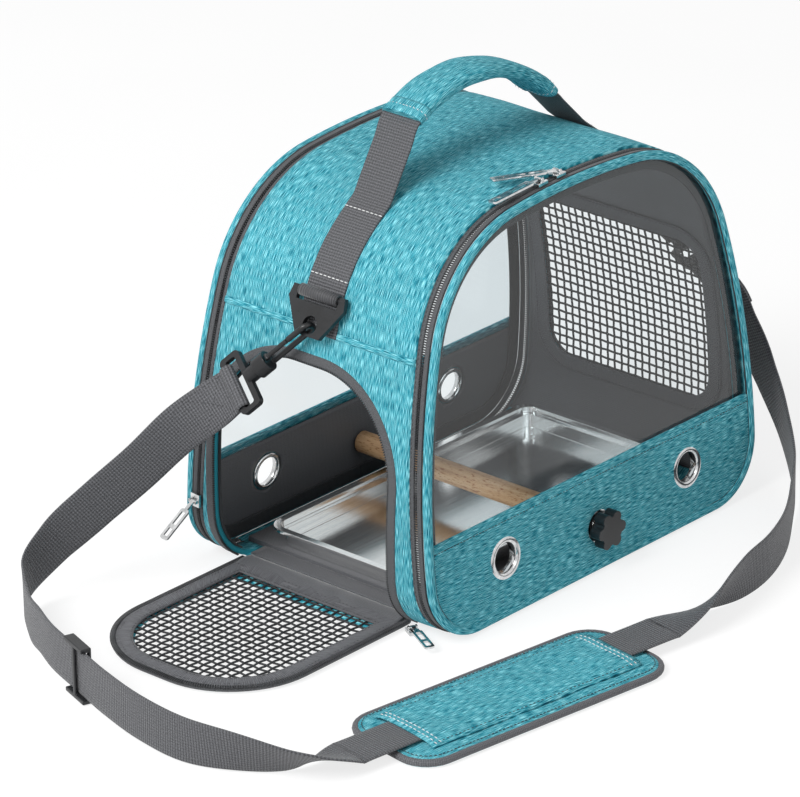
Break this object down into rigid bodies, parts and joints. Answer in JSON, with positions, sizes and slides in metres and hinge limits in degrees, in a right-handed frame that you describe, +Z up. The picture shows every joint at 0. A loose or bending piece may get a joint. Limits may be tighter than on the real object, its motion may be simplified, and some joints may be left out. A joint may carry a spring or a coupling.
{
  "type": "bird travel carrier",
  "caption": "Soft zipped bird carrier with two window faces, fold-down mesh side door, steel tray, wooden perch, padded handle and clip-on shoulder strap.",
  "frame": {"origin": "middle of the base on the floor", "axes": "+Z up, -Y out of the front window with the perch knob, -X out of the side with the fold-down door"},
  "size_m": [0.6827, 0.4452, 0.393],
  "materials": {
    "teal_fabric": "heathered woven polyester over thin foam",
    "dark_webbing": "coarse woven webbing",
    "grey_tape": "zip tape and bound edges",
    "dark_lining": "woven lining",
    "black_mesh": "open square mesh",
    "board": "stiff board under the lining",
    "clear_window": "clear flexible sheet",
    "coil": "zip coil",
    "eyelet_metal": "bright plated",
    "tray_steel": "stainless, bright",
    "slider_metal": "bright plated",
    "bolt_steel": "plain",
    "beech": "smooth, unvarnished",
    "black_plastic": "moulded, satin"
  },
  "bodies": {
    "carrier": {"top_panel": "teal_fabric", "left_side_panel": "teal_fabric", "right_side_panel": "teal_fabric", "base_panel": "teal_fabric", "floor_board": "board", "inner_lining": "dark_lining", "door_opening_trim": "grey_tape", "door_sill": "grey_tape", "right_mesh": "black_mesh", "right_mesh_border": "grey_tape", "front_zip_tape": "grey_tape", "front_zip_coil": "coil", "back_zip_tape": "grey_tape", "back_zip_coil": "coil", "panel_hinge_strips": "teal_fabric", "handle_webbing": "dark_webbing", "handle_grip": "teal_fabric", "door_slider": "slider_metal", "shoulder_strap": "dark_webbing"},
    "front_window_panel": {"front_piping": "teal_fabric", "front_band": "teal_fabric", "front_window": "clear_window", "front_binding": "dark_lining", "front_panel_tape": "grey_tape", "front_panel_coil": "coil", "front_eyelets": "eyelet_metal", "perch": "beech"},
    "perch_screw": {"perch_knob": "black_plastic", "perch_bolt": "bolt_steel"},
    "back_window_panel": {"back_piping": "teal_fabric", "back_band": "teal_fabric", "back_window": "clear_window", "back_binding": "dark_lining", "back_panel_tape": "grey_tape", "back_panel_coil": "coil", "back_eyelets": "eyelet_metal"},
    "side_door": {"door_rim": "coil", "door_outer_border": "teal_fabric", "door_net": "black_mesh", "door_inner_border": "grey_tape", "door_hinge_flap": "grey_tape"},
    "tray": {"tray": "tray_steel"},
    "left_ring": {"left_ring": "black_plastic"},
    "left_hook": {"left_hook": "black_plastic"},
    "left_gate": {"left_gate": "black_plastic"},
    "left_swivel": {"left_swivel": "black_plastic"},
    "right_ring": {"right_ring": "black_plastic"},
    "right_hook": {"right_hook": "black_plastic"},
    "right_gate": {"right_gate": "black_plastic"},
    "right_swivel": {"right_swivel": "black_plastic"},
    "front_slider_a": {"front_slider_a": "slider_metal"},
    "front_pull_a": {"front_pull_a": "slider_metal"},
    "front_slider_b": {"front_slider_b": "slider_metal"},
    "front_pull_b": {"front_pull_b": "slider_metal"},
    "back_slider": {"back_slider": "slider_metal"},
    "back_pull": {"back_pull": "slider_metal"},
    "door_pull": {"door_pull": "slider_metal"},
    "strap_adjuster": {"strap_adjuster": "black_plastic"},
    "shoulder_pad": {"shoulder_pad": "teal_fabric", "pad_sleeve": "teal_fabric"}
  },
  "joints": [
    {"name": "front_panel_fold", "type": "hinge", "parent": "carrier", "child": "front_window_panel", "pos_m": [0, -0.132, 0.00133], "axis": [1, 0, 0], "range_deg": [0, 44]},
    {"name": "back_panel_fold", "type": "hinge", "parent": "carrier", "child": "back_window_panel", "pos_m": [0, 0.132, 0.00133], "axis": [-1, 0, 0], "range_deg": [0, 94]},
    {"name": "side_door_fold", "type": "hinge", "parent": "carrier", "child": "side_door", "pos_m": [-0.165, 0.006, 0.0033], "axis": [0, 1, 0], "range_deg": [0, 65]},
    {"name": "perch_knob_turn", "type": "hinge", "parent": "front_window_panel", "child": "perch_screw", "pos_m": [0, -0.12963, 0.038], "axis": [0, 1, 0], "continuous": true},
    {"name": "tray_slide", "type": "slide", "parent": "carrier", "child": "tray", "axis": [1, 0, 0], "range_m": [-0.25, 0]},
    {"name": "left_ring_swing", "type": "hinge", "parent": "carrier", "child": "left_ring", "pos_m": [-0.17304, 0, 0.25375], "axis": [0, 1, 0], "range_deg": [0, 100], "deforming": ["shoulder_strap"]},
    {"name": "left_hook_swing", "type": "hinge", "parent": "left_ring", "child": "left_hook", "pos_m": [-0.18393, 0, 0.23237], "axis": [-0.891, 0, 0.454], "range_deg": [-30, 35], "deforming": ["shoulder_strap"]},
    {"name": "left_gate_press", "type": "hinge", "parent": "left_hook", "child": "left_gate", "pos_m": [-0.20402, 0.0279, 0.20529], "axis": [0.2918, 0.766, 0.5727], "range_deg": [-12, 0], "stiffness_Nm_per_rad": 0.01},
    {"name": "left_swivel_turn", "type": "hinge", "parent": "left_hook", "child": "left_swivel", "pos_m": [-0.20584, 0.0405, 0.18937], "axis": [0.3478, -0.6428, 0.6826], "range_deg": [-12, 40], "deforming": ["shoulder_strap"]},
    {"name": "right_ring_swing", "type": "hinge", "parent": "carrier", "child": "right_ring", "pos_m": [0.17304, 0, 0.25375], "axis": [0, -1, 0], "range_deg": [0, 100], "deforming": ["shoulder_strap"]},
    {"name": "right_hook_swing", "type": "hinge", "parent": "right_ring", "child": "right_hook", "pos_m": [0.18393, 0, 0.23237], "axis": [0.891, 0, 0.454], "range_deg": [-35, 30], "deforming": ["shoulder_strap"]},
    {"name": "right_gate_press", "type": "hinge", "parent": "right_hook", "child": "right_gate", "pos_m": [0.20402, -0.0279, 0.20529], "axis": [0.2918, 0.766, -0.5727], "range_deg": [-12, 0], "stiffness_Nm_per_rad": 0.01},
    {"name": "right_swivel_turn", "type": "hinge", "parent": "right_hook", "child": "right_swivel", "pos_m": [0.20584, -0.0405, 0.18937], "axis": [-0.3478, 0.6428, 0.6826], "range_deg": [-12, 40], "deforming": ["shoulder_strap"]},
    {"name": "front_slider_a_travel", "type": "hinge", "parent": "carrier", "child": "front_slider_a", "pos_m": [0, -0.14345, -0.34873], "axis": [0, 0.9976, -0.0698], "range_deg": [0, 6]},
    {"name": "front_slider_b_travel", "type": "hinge", "parent": "carrier", "child": "front_slider_b", "pos_m": [0, -0.14345, -0.34873], "axis": [0, 0.9976, -0.0698], "range_deg": [-3, 0]},
    {"name": "front_pull_a_swing", "type": "hinge", "parent": "front_slider_a", "child": "front_pull_a", "pos_m": [-0.01008, -0.096, 0.32974], "axis": [0.4067, 0.9117, -0.0577], "range_deg": [0, 140]},
    {"name": "front_pull_b_swing", "type": "hinge", "parent": "front_slider_b", "child": "front_pull_b", "pos_m": [-0.03124, -0.09605, 0.3291], "axis": [0, 0.9976, -0.0698], "range_deg": [0, 140]},
    {"name": "back_slider_travel", "type": "hinge", "parent": "carrier", "child": "back_slider", "pos_m": [0.43983, 0.11443, 0.06628], "axis": [0, 0.9976, 0.0698], "range_deg": [0, 15]},
    {"name": "back_pull_swing", "type": "hinge", "parent": "back_slider", "child": "back_pull", "pos_m": [-0.20031, 0.11503, 0.05761], "axis": [0, 0.9976, 0.0698], "range_deg": [-40, 60]},
    {"name": "door_pull_swing", "type": "hinge", "parent": "carrier", "child": "door_pull", "pos_m": [-0.177, -0.09216, 0.0056], "axis": [0.8829, -0.4695, 0], "range_deg": [-20, 0]},
    {"name": "adjuster_slide", "type": "slide", "parent": "carrier", "child": "strap_adjuster", "axis": [-0.3303, -0.9439, 0], "range_m": [-0.012, 0.012]},
    {"name": "pad_slide", "type": "slide", "parent": "carrier", "child": "shoulder_pad", "axis": [0.9903, -0.1392, 0], "range_m": [-0.015, 0.015]}
  ]
}
